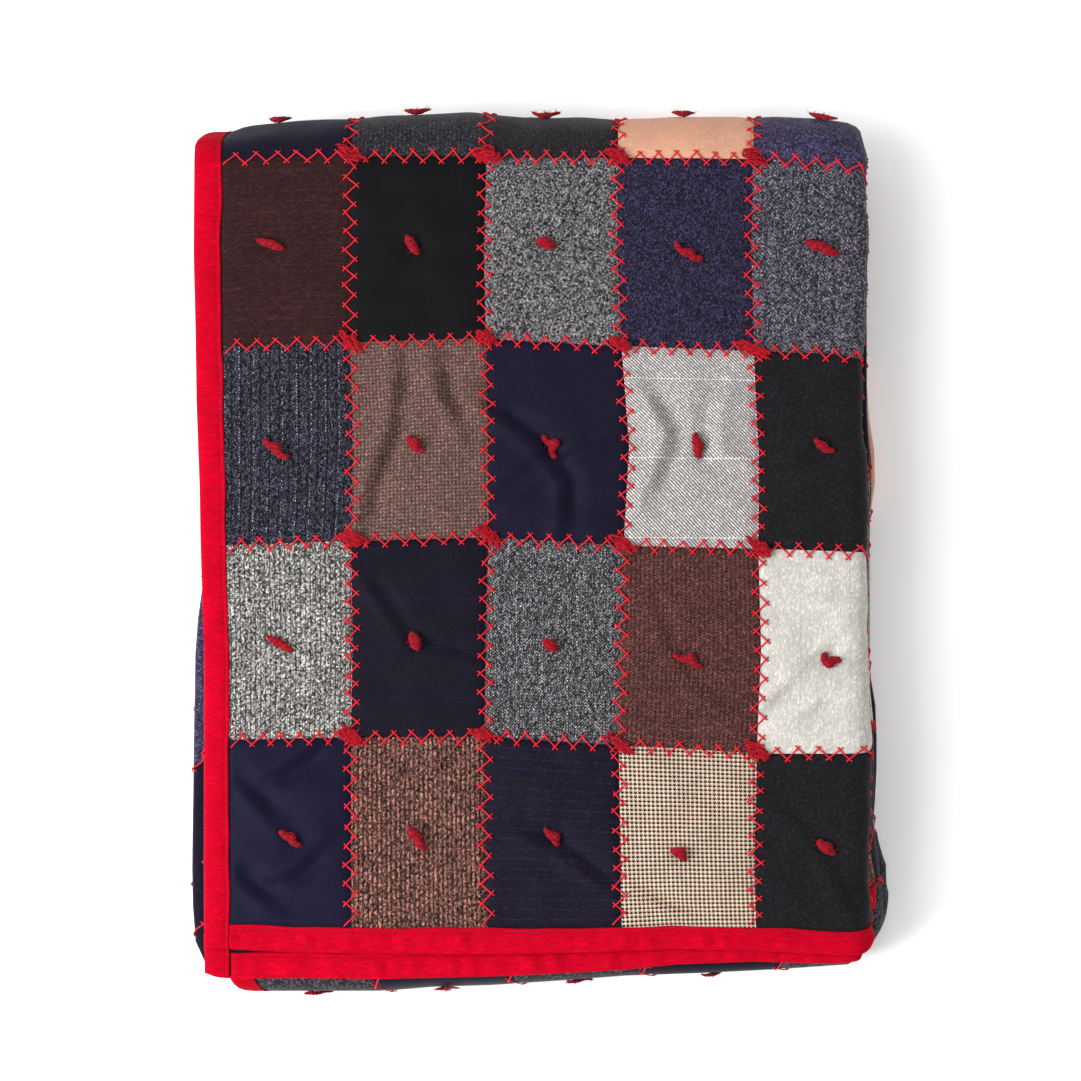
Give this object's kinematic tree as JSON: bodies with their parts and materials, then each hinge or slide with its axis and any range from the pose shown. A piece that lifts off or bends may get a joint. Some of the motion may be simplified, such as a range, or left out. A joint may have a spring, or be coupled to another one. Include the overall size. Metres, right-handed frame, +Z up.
{
  "type": "wool patchwork quilt",
  "caption": "Wool patchwork quilt with a bound edge and yarn ties, folded in half twice each way into a thick flat pile.",
  "frame": {"origin": "on the flat underside of the folded quilt, at the middle of the top ply's width and depth", "axes": "+Z up off the surface it rests on, +Y from the open front edges towards the thick back fold, +X from the bound side edge towards the side fold"},
  "size_m": [0.4697, 0.5988, 0.0958],
  "materials": {
    "wool_patchwork": "worsted and woollen suiting in navy, black, grey, brown, cream and camel, matt",
    "red_cotton": "plain-weave red cotton, matt",
    "red_wool_yarn": "thick felted red wool yarn, matt"
  },
  "bodies": {
    "root": {"quilt_cloth": "wool_patchwork", "binding_left": "red_cotton", "binding_second_side": "red_cotton", "binding_front": "red_cotton", "binding_inner_end": "red_cotton", "tie_row1_col1": "red_wool_yarn", "tie_row1_col2": "red_wool_yarn", "tie_row1_col3": "red_wool_yarn", "tie_row1_col4": "red_wool_yarn", "tie_row1_col5": "red_wool_yarn", "tie_row2_col1": "red_wool_yarn", "tie_row2_col2": "red_wool_yarn", "tie_row2_col3": "red_wool_yarn", "tie_row2_col4": "red_wool_yarn", "tie_row2_col5": "red_wool_yarn", "tie_row3_col1": "red_wool_yarn", "tie_row3_col2": "red_wool_yarn", "tie_row3_col3": "red_wool_yarn", "tie_row3_col4": "red_wool_yarn", "tie_row3_col5": "red_wool_yarn", "tie_row4_col1": "red_wool_yarn", "tie_row4_col2": "red_wool_yarn", "tie_row4_col3": "red_wool_yarn", "tie_row4_col4": "red_wool_yarn", "tie_row4_col5": "red_wool_yarn", "tie_back_col1": "red_wool_yarn", "tie_back_col2": "red_wool_yarn", "tie_back_col3": "red_wool_yarn", "tie_back_col4": "red_wool_yarn", "tie_back_col5": "red_wool_yarn", "tie_front_col1": "red_wool_yarn", "tie_front_col2": "red_wool_yarn", "tie_front_col3": "red_wool_yarn", "tie_front_col4": "red_wool_yarn", "corner_tie_row1_col1": "red_wool_yarn", "corner_tie_row1_col2": "red_wool_yarn", "corner_tie_row1_col3": "red_wool_yarn", "corner_tie_row1_col4": "red_wool_yarn", "corner_tie_row2_col1": "red_wool_yarn", "corner_tie_row2_col2": "red_wool_yarn", "corner_tie_row2_col3": "red_wool_yarn", "corner_tie_row2_col4": "red_wool_yarn", "corner_tie_row3_col1": "red_wool_yarn", "corner_tie_row3_col2": "red_wool_yarn", "corner_tie_row3_col3": "red_wool_yarn", "corner_tie_row3_col4": "red_wool_yarn", "corner_tie_row4_col1": "red_wool_yarn", "corner_tie_row4_col2": "red_wool_yarn", "corner_tie_row4_col3": "red_wool_yarn", "corner_tie_row4_col4": "red_wool_yarn"}
  },
  "joints": []
}
